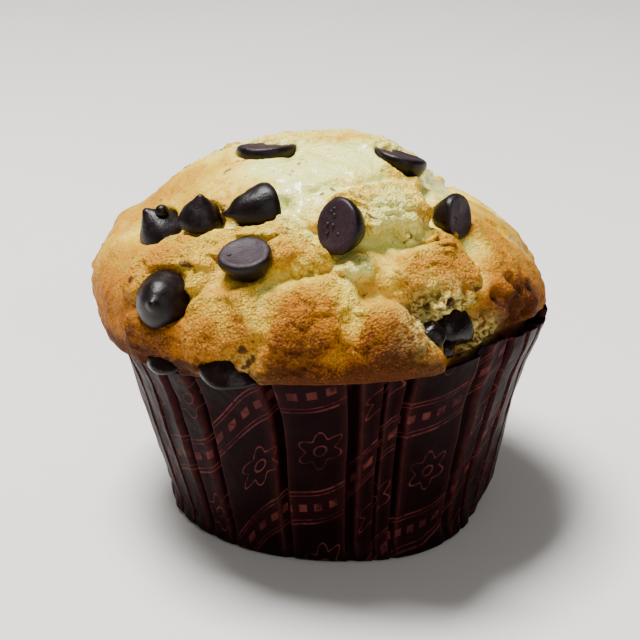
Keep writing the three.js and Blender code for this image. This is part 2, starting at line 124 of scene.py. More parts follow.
# ---- paper case ----
# One sheet of greaseproof baking paper, printed flat, then pressed into a pleated cup. The batter has pushed some
# panels wide open and left the pleats between them as narrow, deep folds. The cake's weight holds it in shape.
CASE_HEIGHT = 36
CASE_FOOT_R = 28.9
CASE_RIM_R = 38.1
CASE_LEAN = -1.0  # the rim's centre against the foot's, along X
CASE_WAIST = 1.1  # how far the wall is drawn in between foot and rim
PLEAT_DEPTH = 2.0
DEEPEST_FOLD = 1.1  # against PLEAT_DEPTH
RIM_UNEVEN = 0.6
PAPER_SHOWN = 0.3  # the wall's thickness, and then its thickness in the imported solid
PAPER_PACKED = 0.5
FOOT_BEND = 1.3  # the round edge between floor and wall
# Local differences: azimuth, spread and amount. The rim stands higher or lower, and the wall further out or in.
RIM_LIFTS = ((-46, 24, -1.8), (0, 28, 1.3), (50, 20, 2.4))
WALL_DENT = (86, 24, 0.5)
FOOT_SHIFTS = ((28, 22, 1.4), (74, 20, -1.9))
# Each fold between two panels: azimuth, half width in mm, depth against PLEAT_DEPTH.
FRONT_FOLDS = [
    (-77, 0.8, 1), (-64, 0.8, 1), (-54.5, 0.6, 0.6), (-45, 1.2, 1), (-34.8, 1.1, 1), (-13.9, 1.1, 1.1),
    (6.7, 1.2, 1.1), (14, 0.5, 0.6), (20.2, 0.9, 1), (41.8, 1.4, 0.7), (50.5, 0.9, 1), (59.3, 0.8, 0.8),
    (68, 0.7, 1), (78, 0.7, 1),
]


def smoothstep(x, low, high):
    t = np.clip((x - low) / (high - low), 0, 1)
    return t * t * (3 - 2 * t)


def lerp(a, b, t):
    return a + (b - a) * t


def bell(x):
    return np.exp(-(x ** 2))


def locally(place, azimuth):
    middle, spread, amount = place
    turn = (azimuth - middle + 540) % 360 - 180
    return amount * bell(turn / spread)


def random_from(seed):
    """The same run of numbers from 0 to 1 each time."""
    state = seed
    while True:
        state = (state * 1664525 + 1013904223) & 0xFFFFFFFF
        yield state / 4294967296


def lattice_value(i, j, k):
    h = (i * 374761393 ^ j * 668265263 ^ k * 1103515245) & 0xFFFFFFFF
    h = ((h ^ (h >> 13)) * 1274126177) & 0xFFFFFFFF
    return (h ^ (h >> 16)) / 2147483648 - 1


def uneven(p, size, shift):
    """Smooth unevenness from -1 to 1 at points p, with cells of a size."""
    q = p / size + shift
    cell = np.floor(q).astype(np.int64)
    i, j, k = cell[..., 0], cell[..., 1], cell[..., 2]
    u, v, w = np.moveaxis(smoothstep(q - cell, 0, 1), -1, 0)
    rows = [lerp(lattice_value(i, j + b, k + c), lattice_value(i + 1, j + b, k + c), u)
            for c in (0, 1) for b in (0, 1)]
    return lerp(lerp(rows[0], rows[1], v), lerp(rows[2], rows[3], v), w)


def direction(azimuth, elevation):
    a, e = np.radians(azimuth), np.radians(elevation)
    return np.stack([np.sin(a) * np.cos(e), -np.cos(a) * np.cos(e), np.sin(e) + 0 * a], axis=-1)


BACK_FOLDS_FROM = 90
BACK_FOLDS_TO = 275
random = random_from(7)
back_folds = []
azimuth = BACK_FOLDS_FROM
while azimuth < BACK_FOLDS_TO:
    back_folds.append((azimuth, lerp(0.7, 1.3, next(random)), lerp(0.7, DEEPEST_FOLD, next(random))))
    azimuth += lerp(9, 17, next(random))
folds = FRONT_FOLDS + back_folds

# The columns of the wall: close together across each fold, and a step apart over the panels between them. A fold
# leans to one side, so one of its walls is steep and the other slopes.
# The crease edges are raised a little, and their share also paints a lighter highlight on the paper.
FOLD_SECTION = ((-1.12, 0, 0.5), (-0.94, 0.1, 1), (-0.6, 0.55, 0), (-0.25, 0.93, 0), (0, 1, 0), (0.25, 0.93, 0),
                (0.6, 0.55, 0), (0.94, 0.1, 1), (1.12, 0, 0.5))  # across, share of the depth, crease edge share
COLUMN_STEP = 1.2
PANEL_FROM = 1.3  # a panel starts this many half widths from the fold's middle
PANEL_EDGE_SHARE = 0.25
random = random_from(21)
lean_random = random_from(57)
wall_columns = []  # azimuth, fold depth share, crease edge share (painted highlight), rise of the rim, bow of the panel
mean_r = (CASE_FOOT_R + CASE_RIM_R) / 2
last_rise = 0
for n, (azimuth, half, depth) in enumerate(folds):
    after = folds[n + 1] if n + 1 < len(folds) else (folds[0][0] + 360, *folds[0][1:])
    rise = lerp(-RIM_UNEVEN, RIM_UNEVEN, next(random))
    bow = lerp(-0.35, 0.35, next(lean_random))
    lean = lerp(-0.45, 0.45, next(lean_random))
    side = math.degrees(half / mean_r)
    for across, share, edge_share in FOLD_SECTION:
        leant = across + lean * share
        wall_columns.append((azimuth + leant * side, share * depth, edge_share, rise if across > 0 else last_rise, 0))
    start = azimuth + PANEL_FROM * side
    end = after[0] - PANEL_FROM * math.degrees(after[1] / mean_r)
    count = max(2, round(math.radians(end - start) * mean_r / COLUMN_STEP))
    for k in range(count + 1):
        across = k / count
        edge_share = PANEL_EDGE_SHARE if k in (0, count) else 0
        wall_columns.append((lerp(start, end, across), 0, edge_share, rise, bow * 4 * across * (1 - across)))
    last_rise = rise
column_azimuth, fold_share, crease_worn, rim_rise, panel_bow = np.array(wall_columns).T


def points_of(piece):
    flat = np.empty(len(piece.data.vertices) * 3)
    piece.data.vertices.foreach_get("co", flat)
    return flat.reshape(-1, 3)


# The rows of the sheet, from the middle of the floor at shares of its radius, round the bend and up the wall.
FLOOR_ROWS = (0, 0.35, 0.7, 0.88)
BEND_ROWS = 5
WALL_ROWS = 42
bpy.ops.object.select_all(action="DESELECT")
bpy.ops.mesh.primitive_grid_add(x_subdivisions=len(wall_columns), size=1, location=(0, 0, 0),
                                y_subdivisions=len(FLOOR_ROWS) + BEND_ROWS + WALL_ROWS - 1)
case = bpy.context.object
case.name = "pleated_paper_case"
flat = points_of(case)
sheet_column = np.unique(flat[:, 0].round(6), return_inverse=True)[1]
column = sheet_column % len(wall_columns)  # the last column of the sheet meets the first
row = np.unique(flat[:, 1].round(6), return_inverse=True)[1]


def case_radius(z, azimuth):
    waist = CASE_WAIST * smoothstep(z, 0, 4) * (1 - smoothstep(z, 28, CASE_HEIGHT))
    dent = locally(WALL_DENT, azimuth) * bell((z - 21) / 7)
    foot = sum(locally(shift, azimuth) for shift in FOOT_SHIFTS) * (1 - smoothstep(z, 0, 5))
    return lerp(CASE_FOOT_R, CASE_RIM_R, z / CASE_HEIGHT) - waist - dent + foot


def fold_depth(z):
    return PLEAT_DEPTH * lerp(0.35, 1, smoothstep(z, 0, CASE_HEIGHT * 0.6))


around = column_azimuth[column]
rim = CASE_HEIGHT + sum(locally(lift, around) for lift in RIM_LIFTS) + rim_rise[column]
bend = (row - len(FLOOR_ROWS) + 1) / BEND_ROWS  # 0 where the floor ends, 1 where the wall starts
climb = np.clip((row - len(FLOOR_ROWS) - BEND_ROWS + 1) / (WALL_ROWS - 1), 0, 1)
bent = np.clip(bend, 0, 1) * math.pi / 2
z = np.where(bend <= 1, FOOT_BEND * (1 - np.cos(bent)), lerp(FOOT_BEND, rim, climb))
on_floor = row < len(FLOOR_ROWS)
floor_share = np.array(FLOOR_ROWS)[np.minimum(row, len(FLOOR_ROWS) - 1)]
radius = case_radius(z, around) - FOOT_BEND * (1 - np.sin(bent))
radius = np.where(on_floor, floor_share * (case_radius(0, around) - FOOT_BEND), radius)
folded = fold_share[column] * fold_depth(z) * smoothstep(radius, 20, CASE_FOOT_R - FOOT_BEND)
folded *= lerp(0.4, 1, smoothstep(z, 0.3, 3.5))  # the folds are pressed shut at the foot
on_wall = smoothstep(z, 0.2, 3)
at_foot = smoothstep(z, 0.1, 1) * (1 - smoothstep(z, 2, 6))
upright = direction(around, 0 * around) * radius[:, None] + np.stack([0 * z, 0 * z, z], axis=-1)
around = around + 1.1 * on_wall * uneven(upright, 13, 61)  # the folds wander a little
out = direction(around, 0 * around)
crinkle = 0.20 * uneven(upright * [1, 1, 0.45], 4.5, 3) + 0.12 * uneven(upright, 1.9, 19)
crinkle += 0.22 * uneven(upright, 9, 50)
puckers = 0.38 * at_foot * uneven(upright * [1, 1, 0.25], 2.1, 77)
radius = radius - folded + (crinkle * on_wall + puckers) * (1 - 0.7 * fold_share[column])
radius += 0.14 * crease_worn[column] * on_wall + panel_bow[column] * smoothstep(z, 12, CASE_HEIGHT)
spot = out * radius[:, None] * MM
spot[:, 0] += CASE_LEAN * z / CASE_HEIGHT * MM
spot[:, 2] = z * MM
case.data.vertices.foreach_set("co", spot.ravel())

# The print's own flat sheet: millimetres round the case, with what lies in the folds, and millimetres up it.
middle = direction(column_azimuth, 0 * column_azimuth) * (mean_r - fold_share * PLEAT_DEPTH)[:, None]
along = np.concatenate([[0], np.cumsum(np.linalg.norm(np.diff(np.vstack([middle, middle[:1]]), axis=0), axis=1))])
up_sheet = np.where(on_floor, radius - CASE_FOOT_R, z)
loop_vertex = np.empty(len(case.data.loops), dtype=np.int64)
case.data.loops.foreach_get("vertex_index", loop_vertex)
case.data.uv_layers[0].name = "flat_sheet"
case.data.uv_layers[0].data.foreach_set("uv", np.stack([along[sheet_column], up_sheet], axis=-1)[loop_vertex].ravel())
# How much each point is at a crease edge: there the paper is painted lighter, as a highlight.
creases = case.data.attributes.new("crease_worn", "FLOAT", "POINT")
creases.data.foreach_set("value", crease_worn[column] * on_wall)

bpy.ops.object.mode_set(mode="EDIT")
bpy.ops.mesh.select_all(action="SELECT")
bpy.ops.mesh.remove_doubles(threshold=0.00001)
bpy.ops.mesh.normals_make_consistent(inside=False)
bpy.ops.object.mode_set(mode="OBJECT")
wall = case.modifiers.new("paper", "SOLIDIFY")
wall.thickness = PAPER_SHOWN * MM
wall.offset = -1
wall.thickness_clamp = 1.1  # thinner in the creases, so that the inner side doesn't cross itself
bpy.ops.object.modifier_apply(modifier="paper")
bpy.ops.object.shade_smooth_by_angle(angle=math.radians(50))

waxed_paper, tree = new_tree("printed_greaseproof_paper")  # very dark brown, with the dull sheen of a waxed face
where = add_node(tree, "ShaderNodeTexCoord").outputs["Object"]
sheet = add_node(tree, "ShaderNodeSeparateXYZ", sockets={
    "Vector": add_node(tree, "ShaderNodeUVMap", {"uv_map": "flat_sheet"})})
cloud = add_node(tree, "ShaderNodeTexNoise", sockets={"Vector": where, "Scale": cells_of(7), "Detail": 4.0})
speck = add_node(tree, "ShaderNodeTexNoise", sockets={"Vector": where, "Scale": cells_of(1.4), "Detail": 4.0})
crease_highlight = add_node(tree, "ShaderNodeAttribute", {"attribute_name": "crease_worn"}).outputs["Fac"]
drawn = {"x": sheet.outputs["X"], "y": sheet.outputs["Y"], "cloud": cloud, "speck": speck, "crease_highlight": crease_highlight}
# The print, worked out in millimetres of the flat sheet: wavy ribbons rise across it with dashes along their
# middle, and a row of six-petalled rosettes runs between each two. The ink is thin in places and lost in others.
RIBBON_GAP = 11.5  # from a ribbon's middle to the middle of the row of rosettes beside it
PRINT_STEPS = (
    ("slope", "MULTIPLY", "x", 0.62), ("risen", "SUBTRACT", "y", "slope"),
    ("turn", "MULTIPLY", "x", 0.23), ("swing", "SINE", "turn"), ("sway", "MULTIPLY", "swing", 2.4),
    ("swayed", "ADD", "risen", "sway"), ("off_ribbon", "PINGPONG", "swayed", RIBBON_GAP),
    ("outer_line", "COMPARE", "off_ribbon", 3.3, 0.17), ("inner_line", "COMPARE", "off_ribbon", 2.5, 0.09),
    ("lines", "MAXIMUM", "outer_line", "inner_line"),
    ("dash_turn", "MULTIPLY", "x", 2.3), ("dash_wave", "SINE", "dash_turn"),
    ("dash_on", "GREATER_THAN", "dash_wave", -0.1), ("dash_row", "LESS_THAN", "off_ribbon", 0.75),
    ("dashes", "MULTIPLY", "dash_on", "dash_row"), ("ribbons", "MAXIMUM", "lines", "dashes"),
    ("across", "SUBTRACT", RIBBON_GAP, "off_ribbon"), ("step", "FLOORED_MODULO", "x", 13.0),
    ("along", "SUBTRACT", "step", 6.5), ("across_2", "MULTIPLY", "across", "across"),
    ("along_2", "MULTIPLY", "along", "along"), ("off_2", "ADD", "across_2", "along_2"),
    ("off_rosette", "SQRT", "off_2"), ("angle", "ARCTAN2", "across", "along"),
    ("petal_turn", "MULTIPLY", "angle", 6.0), ("petal_wave", "COSINE", "petal_turn"),
    ("petal", "MULTIPLY", "petal_wave", 0.7), ("petalled", "ADD", "off_rosette", "petal"),
    ("petals", "COMPARE", "petalled", 3.1, 0.16), ("eye", "COMPARE", "off_rosette", 1.0, 0.16),
    ("rosettes", "MAXIMUM", "petals", "eye"), ("print", "MAXIMUM", "ribbons", "rosettes"),
    ("thin", "SUBTRACT", "speck", 0.32), ("inked", "MULTIPLY", "thin", 3.2),
    ("kept", "SUBTRACT", "cloud", 0.3), ("kept_share", "MULTIPLY", "kept", 2.6),
    ("inked_share", "MINIMUM", "inked", "kept_share"), ("ink_share", "MINIMUM", "inked_share", 0.8),
    ("ink_left", "MAXIMUM", "ink_share", 0.12), ("ink", "MULTIPLY", "print", "ink_left"),
    ("band", "LESS_THAN", "off_ribbon", 3.3), ("band_tint", "MULTIPLY", "band", 0.55),
    # Last, a painted highlight along the crease edges, flecked, and the paper's gloss.
    ("crease_highlight_share", "MULTIPLY", "crease_highlight", "speck"), ("painted_crease_highlight", "MULTIPLY", "crease_highlight_share", 0.6),
    ("matted", "MULTIPLY", "cloud", 0.3), ("gloss", "ADD", "matted", 0.26))
for name, operation, *terms in PRINT_STEPS:
    drawn[name] = add_node(tree, "ShaderNodeMath", {"operation": operation}, {
        n: drawn.get(term, term) for n, term in enumerate(terms)})
shown = add_node(tree, "ShaderNodeMix", COLOURS, {"Factor": cloud, 6: linear("#0e0304"), 7: linear("#190609")})
# Over the paper's dark tone: the band, the ink, and a lighter red painted along the crease edges as a highlight.
for share, colour in (("band_tint", "#1f080b"), ("ink", "#65302d"), ("painted_crease_highlight", "#5c2e2b")):
    shown = add_node(tree, "ShaderNodeMix", COLOURS, {"Factor": drawn[share], 6: shown, 7: linear(colour)})
fibre = add_node(tree, "ShaderNodeTexNoise", sockets={"Vector": where, "Scale": cells_of(0.9), "Detail": 4.0})
crumple = add_node(tree, "ShaderNodeTexNoise", sockets={"Vector": where, "Scale": cells_of(5), "Detail": 3.0})
soft = add_node(tree, "ShaderNodeBump", sockets={"Height": crumple, "Distance": 0.8 * MM, "Strength": 0.6})
fine = add_node(tree, "ShaderNodeBump", sockets={
    "Height": fibre, "Distance": 0.06 * MM, "Strength": 0.5, "Normal": soft})
paper = add_node(tree, "ShaderNodeBsdfPrincipled", sockets={
    "Base Color": shown, "Roughness": drawn["gloss"], "IOR": 1.45, "Specular IOR Level": 0.03, "Normal": fine})
add_node(tree, "ShaderNodeOutputMaterial", sockets={"Surface": paper})
case.data.materials.clear()
case.data.materials.append(waxed_paper)
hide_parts("paper_case")
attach(case, "root")

# ---- baked cake ----
# Muffin batter risen over the rim of its case and baked. The skin has torn open as it rose, so browned and gritty
# plates of crust stand between pale and moist valleys, and beside one cleft the open crumb shows.
HEART_Z = 40  # the height that the crust's radii are measured from
FACE_R = 36  # turns directions from the heart into distances along the crust
LIP_LOW = -9.5
LIP_UNDER = 4
LIP_LIFTS = ((8, 62, 5.8), (132, 24, 4.8))  # azimuth, spread and amount: the lip's lower edge is higher there
PLUG_CORNER = 12  # the higher, the sharper the lower edge of the part in the case
PLUG_CLEAR = 0.6  # the gap between that part and the case's deepest fold
PLUG_INSET = PAPER_PACKED + PLUG_CLEAR + PLEAT_DEPTH * DEEPEST_FOLD + CASE_WAIST
PLUG_LOWEST = 0.95
# The smooth dome's radius at these elevations, on each of its four sides.
DOME_ELEVATIONS = np.array([-10, 0, 12, 24, 36, 50, 65, 90])
DOME = {
    "left": np.array([40.0, 41.0, 38.3, 34.0, 31.4, 28.6, 26.0, 24.6]),
    "front": np.array([39.6, 40.0, 36.6, 31.6, 28.9, 26.9, 25.6, 24.6]),
    "right": np.array([36.8, 36.1, 32.8, 28.6, 26.2, 25.2, 25.6, 24.6]),
    "back": np.array([38.7, 38.9, 36.0, 31.2, 28.8, 27.0, 25.7, 24.6]),
}
# Plates of risen crust: azimuth, elevation, half width, half height, how far it stands out, turn.
plates = [
    (20, 42, 9.5, 6.0, 2.7, 0), (35, 37, 5.5, 6.0, 2.5, 6), (-10, 27, 6.5, 4.6, 1.5, -12), (6, 22, 4.0, 2.2, 1.1, 8),
    (-26, 33, 6.5, 2.6, 1.9, 20), (-36, 26.5, 5.5, 3.4, 1.7, 8), (-47, 21, 6.3, 3.8, 2.1, 14),
    (-47, 15.5, 8.0, 4.2, 1.4, 8), (-24, 9.5, 7.5, 4.4, 1.9, 22), (-38, 1, 11, 3.4, 0.9, 0),
    (-4, 11.5, 7.4, 5.8, 2.5, 10), (-9, 3, 8.5, 4.6, 1.7, 0), (13, 5.5, 7.6, 4.6, 2.9, -18),
    (20, 2.6, 3.4, 2.8, 3.2, -35), (31, 20, 8.5, 5.0, 2.8, 6), (33, 14, 6.5, 2.4, 3.0, 0),
    (66, 20, 6.5, 6.5, 0.6, 0), (-88, 10, 9, 6, 0.9, 0),
]
# Tears and dips: a line of azimuths and elevations, width, depth.
tears = [
    ([(-22, 43), (-29, 36), (-41, 31.5), (-62, 24), (-76, 20)], 2.3, 2.0),
    ([(-8, 32), (12, 30), (33, 30)], 2.2, 2.2),
    ([(33, 30), (46, 34), (51, 41), (73, 48), (88, 52)], 1.6, 2.4),
    ([(8, 29), (-2, 21), (3, 18), (8, 14.5), (4.5, 9), (-1, 1)], 1.6, 1.6),
    ([(-2, 21), (-12, 20), (-18.5, 15), (-15.5, 9), (-17, 1)], 1.6, 1.7),
    ([(8, 14.5), (16, 14), (20.5, 8.5), (25, 3)], 1.7, 2.0),
    ([(25.5, 7), (34, 4.5), (31, -2)], 3.2, 4.2),
    ([(34, 0), (52, -2)], 5, 2.4),
    ([(84, 47), (102, 37), (118, 24)], 7, 2.4),
    ([(-134, 45), (-119, 33)], 6, 1.6),
    ([(142, 30), (130, 21), (116, 14)], 8, 2.8),
    ([(56, 25), (49, 17), (41, 9.5), (38, 5)], 1.8, 2.0),
    ([(-9, 50), (0, 54), (25, 56.5), (55, 53)], 1.6, 0.9),
    ([(-44, -4.5), (-22, -3.5)], 1.5, 0.9),
]
BACK_PLATES = 17
random = random_from(5)
for n in range(BACK_PLATES):
    azimuth = lerp(112, 248, (n * 0.618) % 1) + lerp(-5, 5, next(random))
    elevation = (5, 14, 24, 35)[n % 4] + lerp(-4, 4, next(random))
    half = (lerp(6, 9, next(random)), lerp(4, 6, next(random)))
    plates.append((azimuth, elevation, *half, lerp(1, 2.3, next(random)), lerp(-20, 20, next(random))))
BACK_TEARS = 8
random = random_from(12)
for n in range(BACK_TEARS):
    azimuth = 102 + n * 21 + lerp(-5, 5, next(random))
    elevation = (3, 26, 14)[n % 3]
    line = [(azimuth + k * lerp(-9, 9, next(random)), elevation + k * 8) for k in range(3)]
    tears.append((line, lerp(1.6, 2.3, next(random)), lerp(1.2, 2.2, next(random))))


def on_face(azimuth, elevation):
    return FACE_R * direction(azimuth, elevation)


def reach_to_line(q, line):
    """How far each point is from a line of azimuths and elevations."""
    reach = np.full(q.shape[:-1], np.inf)
    for start, end in zip(line[:-1], line[1:]):
        a, b = on_face(*start), on_face(*end)
        share = np.clip(((q - a) @ (b - a)) / ((b - a) @ (b - a)), 0, 1)
        reach = np.minimum(reach, np.linalg.norm(q - a - share[..., None] * (b - a), axis=-1))
    return reach


def plates_at(q, inner=0.68, outer=1.14):
    total = 0
    for azimuth, elevation, half_width, half_height, rise, turn in plates:
        out = direction(azimuth, elevation)
        right = direction(azimuth + 90, 0)
        up = np.cross(out, right)
        c, s = math.cos(math.radians(turn)), math.sin(math.radians(turn))
        right, up = c * right + s * up, c * up - s * right
        d = np.cbrt((np.abs(q @ right) / half_width) ** 3 + (np.abs(q @ up) / half_height) ** 3)
        total = total + np.where(q @ out < FACE_R / 2, 0, rise * (1 - smoothstep(d, inner, outer))) ** 4
    return total ** 0.25


def tears_at(q):
    return np.max([depth * bell(reach_to_line(q, line) / width) for line, width, depth in tears], axis=0)


def drift(p, size, *shifts):
    """Smooth unevenness in the three directions, each with its own shift."""
    return np.stack([uneven(p, size, shift) for shift in shifts], axis=-1)


def wandered(p):
    return p + 1.2 * drift(p, 5, 11, 37, 71)


def spline_at(values, elevation):
    e = np.clip(elevation, DOME_ELEVATIONS[0], 90)
    n = np.clip(np.searchsorted(DOME_ELEVATIONS, e, side="left") - 1, 0, len(DOME_ELEVATIONS) - 2)
    t = (e - DOME_ELEVATIONS[n]) / (DOME_ELEVATIONS[n + 1] - DOME_ELEVATIONS[n])
    a, b, c, d = (values[np.clip(n + k, 0, len(values) - 1)] for k in (-1, 0, 1, 2))
    return 0.5 * (2 * b + (c - a) * t + (2 * a - 5 * b + 4 * c - d) * t ** 2 + (3 * b - a - 3 * c + d) * t ** 3)


def dome_radius(azimuth, elevation):
    s, c = np.sin(np.radians(azimuth)), np.cos(np.radians(azimuth))
    across = np.where(s > 0, spline_at(DOME["right"], elevation), spline_at(DOME["left"], elevation))
    lengthways = np.where(c > 0, spline_at(DOME["front"], elevation), spline_at(DOME["back"], elevation))
    return across * s ** 2 + lengthways * c ** 2


def plug_radius(elevation):
    drop = -np.tan(np.radians(np.minimum(elevation, -1)))
    slope = (CASE_RIM_R - CASE_FOOT_R) / CASE_HEIGHT
    wall = (CASE_FOOT_R - PLUG_INSET + HEART_Z * slope) / (1 + slope * drop)
    floor = (HEART_Z - PLUG_LOWEST) / drop
    return (wall ** -PLUG_CORNER + floor ** -PLUG_CORNER) ** (-1 / PLUG_CORNER) / np.cos(np.radians(elevation))


def lip_low(azimuth):
    return LIP_LOW + sum(locally(lift, azimuth) for lift in LIP_LIFTS)


def crust_points(azimuth, elevation, relief):
    """The crust's points in directions from the heart, with the relief that stands out of the smooth dome."""
    low = lip_low(azimuth)
    risen = smoothstep(elevation, low - LIP_UNDER, low)
    shown = smoothstep(elevation, low - LIP_UNDER, low + 6)
    r = lerp(plug_radius(elevation), dome_radius(azimuth, elevation) + relief * shown, risen)
    p = direction(azimuth, elevation) * r[..., None] + np.array([0, 0, HEART_Z])
    p[..., 0] += CASE_LEAN * p[..., 2] / CASE_HEIGHT * (1 - risen)
    return p


def packed_relief(azimuth, elevation):
    """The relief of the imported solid, which the chips were placed on."""
    p = FACE_R * direction(azimuth, elevation)
    q = wandered(p)
    return plates_at(q) - tears_at(q) + 0.35 * uneven(p, 6, 5) + 0.25 * uneven(p, 3, 91)


# Each chip: azimuth, elevation, how far its middle stands out, azimuth and elevation of its tip, size, how tall it
# is against its width, and how round its side is.
CHIPS = {
    "top_left": (-87, 62, -3.7, 14, -80, 1.17, 1, 0), "top_right": (70, 60, -2.4, -56, -73, 1.04, 1, 0.85),
    "left_nub": (-68, 23.5, 1.9, -80, 55, 1.0, 1, 0.8), "left_drop": (-51.5, 33.3, 1.2, 10, 80, 0.86, 1, 0),
    "lying": (-34, 38, 1.4, -70, -4, 0.95, 1.35, 0.9), "middle": (6, 34.5, 1.2, 133, -18, 0.98, 1, 0),
    "right_shoulder": (55, 34, 0.3, -123, -10, 0.84, 1, 0.95),
    "flat_up": (-24.5, 20.9, 0.4, 155, -70, 0.97, 1, 0.85),
    "left_dome": (-42.5, 8.8, 2.1, -15, 13, 1.15, 1, 0.97), "under_lip_left": (-43, -3.4, -3.0, -50, 76, 1.0, 0.62, 0),
    "under_lip_middle": (-23.5, -0.8, -2.6, 10, 72, 1.15, 0.6, 0), "cleft": (31, 2.4, -0.8, -30, -8, 0.95, 1, 0.9),
    "cleft_small": (23, 4.2, -0.6, -40, 10, 0.55, 1, 0), "back_1": (124, 3.5, -0.8, 110, 38, 0.9, 1, 0),
    "back_2": (143, 3, -1.9, 320, -22, 0.98, 1, 0), "back_3": (160, 3, -1.8, 340, -20, 1.08, 1, 0),
    "back_4": (165, 20, 0.3, 120, 48, 0.9, 1, 0), "back_5": (181, 38, -2.1, 2, -60, 1.0, 1, 0),
    "back_6": (184, 8, 0.9, 190, 24, 1.04, 1, 0), "back_7": (197, 22, 0.2, 300, 8, 0.94, 1, 0),
    "back_8": (214, 5, -0.6, 60, -40, 0.98, 1, 0), "back_9": (221, 23, -3.4, 42, -48, 1.05, 1, 0),
}
CHIP_R = 4.4
CHIP_H = 6.4
PLUMP_H = 0.9  # the round side ends a little under the tip, so that a small tip is left
# A chip's side from its flat base to its tip: shares of the height and of the base's radius.
SIDE_H = (0, 0.02, 0.05, 0.09, 0.14, 0.2, 0.3, 0.42, 0.56, 0.68, 0.8, 0.88, 0.94, 0.98, 1)
SIDE_R = (0.90, 0.945, 0.975, 0.995, 1.0, 0.985, 0.935, 0.845, 0.70, 0.53, 0.35, 0.24, 0.165, 0.10, 0.02)


def chip_side(h, plump):
    """The radius of a chip at shares of its height, as a share of its base's radius."""
    return np.maximum(np.interp(h, SIDE_H, SIDE_R), plump * np.sqrt(np.clip(1 - (h / PLUMP_H) ** 2, 0, 1)))


chip_seats = {}
for name, (azimuth, elevation, stands, *_) in CHIPS.items():
    a, e = np.array([azimuth], float), np.array([elevation], float)
    chip_seats[name] = crust_points(a, e, packed_relief(a, e))[0] + stands * direction(a, e)[0]

# A ball of even squares comes first, most of it is drawn up into the dome, and then it is pushed out to the crust.
BALL_CUTS = 126
DOME_SHARE = 142  # degrees from the top of the ball that become the dome
bpy.ops.object.select_all(action="DESELECT")
bpy.ops.mesh.primitive_cube_add(size=2)
cake = bpy.context.object
cake.name = "baked_cake"
bpy.ops.object.mode_set(mode="EDIT")
bpy.ops.mesh.select_all(action="SELECT")
bpy.ops.mesh.subdivide(number_cuts=BALL_CUTS)
bpy.ops.object.mode_set(mode="OBJECT")
ball = np.tan(points_of(cake) * math.pi / 4)
ball /= np.linalg.norm(ball, axis=1, keepdims=True)
dome_reach = 90 - LIP_LOW + LIP_UNDER
from_top = np.degrees(np.arccos(np.clip(ball[:, 2], -1, 1)))
moved = np.where(from_top < DOME_SHARE, from_top * dome_reach / DOME_SHARE,
                 lerp(dome_reach, 180, (from_top - DOME_SHARE) / (180 - DOME_SHARE)))
azimuth = np.degrees(np.arctan2(ball[:, 0], -ball[:, 1]))
elevation = np.clip(90 - moved, -89.99, 90)
p = FACE_R * direction(azimuth, elevation)


def spots_at(spots):
    """Soft round spots, each an azimuth, elevation, radius in mm and amount, added up."""
    return sum(amount * bell(np.linalg.norm(p - on_face(a, e), axis=1) / size) for a, e, size, amount in spots)


def crazed(p, size, shift):
    """Cells of a size in uneven places: each point's own cell value, and how far it is inside its cell's edge."""
    q = p / size + shift
    cell = np.floor(q).astype(np.int64)
    value, first, second = np.zeros(len(p)), np.full(len(p), np.inf), np.full(len(p), np.inf)
    for step in itertools.product((-1, 0, 1), repeat=3):
        i, j, k = (cell + step).T
        jitter = np.stack([lattice_value(i + s, j, k) for s in (101, 203, 307)], axis=-1) * 0.45 + 0.5
        away = np.linalg.norm(cell + step + jitter - q, axis=1)
        value = np.where(away < first, lattice_value(i, j + 57, k), value)
        second = np.minimum(np.maximum(first, away), second)
        first = np.minimum(first, away)
    return value, second - first


# The same plates and tears as the solid's, with ragged edges, crags on the plates and open crumb in the cleft.
CRUMB = [(22, 9.5, 3.4, 0.9), (28, 9.5, 3.6, 1.0), (34, 7, 3.2, 0.9), (36, 1, 3, 0.6), (43, 0.5, 2.6, 0.7),
         (-20, -2, 2.5, 0.5)]
LUMPS = [(2.5, 22, 0.9, 1.3), (5, 23.4, 0.9, 1.5), (6.5, 21.6, 1.0, 1.7), (9, 23, 0.8, 1.6), (10.5, 21.4, 0.8, 1.2),
         (18, 21, 1.3, 0.5), (53, 74, 1.6, 0.7), (-24.5, 16.2, 2.6, 0.7), (-20, 53, 1.8, 0.35), (46, 2.5, 1.3, 1.2),
         (20.5, 3.5, 2.0, 1.4), (25, 9.5, 1.8, 1.3), (30, 9.5, 1.6, 1.2), (34, 9, 1.5, 1.2), (28, 7.5, 1.5, 1.4),
         (33, 7.5, 1.5, 1.4), (-40, 5.5, 1.5, 0.5), (50, 4, 1.5, 1.2), (57.5, 4.5, 1.8, 1.5), (65, 2.5, 1.7, 1.3),
         (54, 9, 1.6, 1.1), (62, 9, 1.5, 1.0), (69, 7, 1.5, 0.8), (50, 29, 2.2, 0.9)]
HOLES = [(54, 2, 1.2, 1.8), (49, 8, 1.0, 1.5), (60.5, 6.5, 1.1, 1.7), (44, 6, 1.0, 1.3), (67, 5, 1.0, 1.3),
         (61, 1, 1.1, 1.5), (57, 11, 0.9, 0.8), (-87, 62, 5, 0.6), (-68, 67, 4, 1.2), (-56, 71, 3.5, 0.9),
         (221, 23, 3.6, 1.0), (20, 7, 0.9, 0.7), (-58, 19, 0.6, 0.4), (39, 12, 0.9, 0.8), (13, 22, 0.9, 0.8),
         (38, 7.5, 1.0, 1.0)]
CALM = [(-82, 20, 13, 0.7), (-25, 62, 12, 0.9), (20, 74, 9, 0.7), (-66, 45, 9, 0.6), (74, 24, 8, 0.6), (92, 30, 9, 0.8),
        (108, 26, 12, 0.9), (106, 8, 12, 0.9)]  # where the skin is smooth
GRITTY = [(58, 5, 5, 0.9), (68, 4, 4, 0.7), (7, 22.3, 2.4, 1.0)]  # where it is gritty, plate or no plate
LEVELLED = [(106, 10, 11, 1.0)]  # where plates and tears fade out
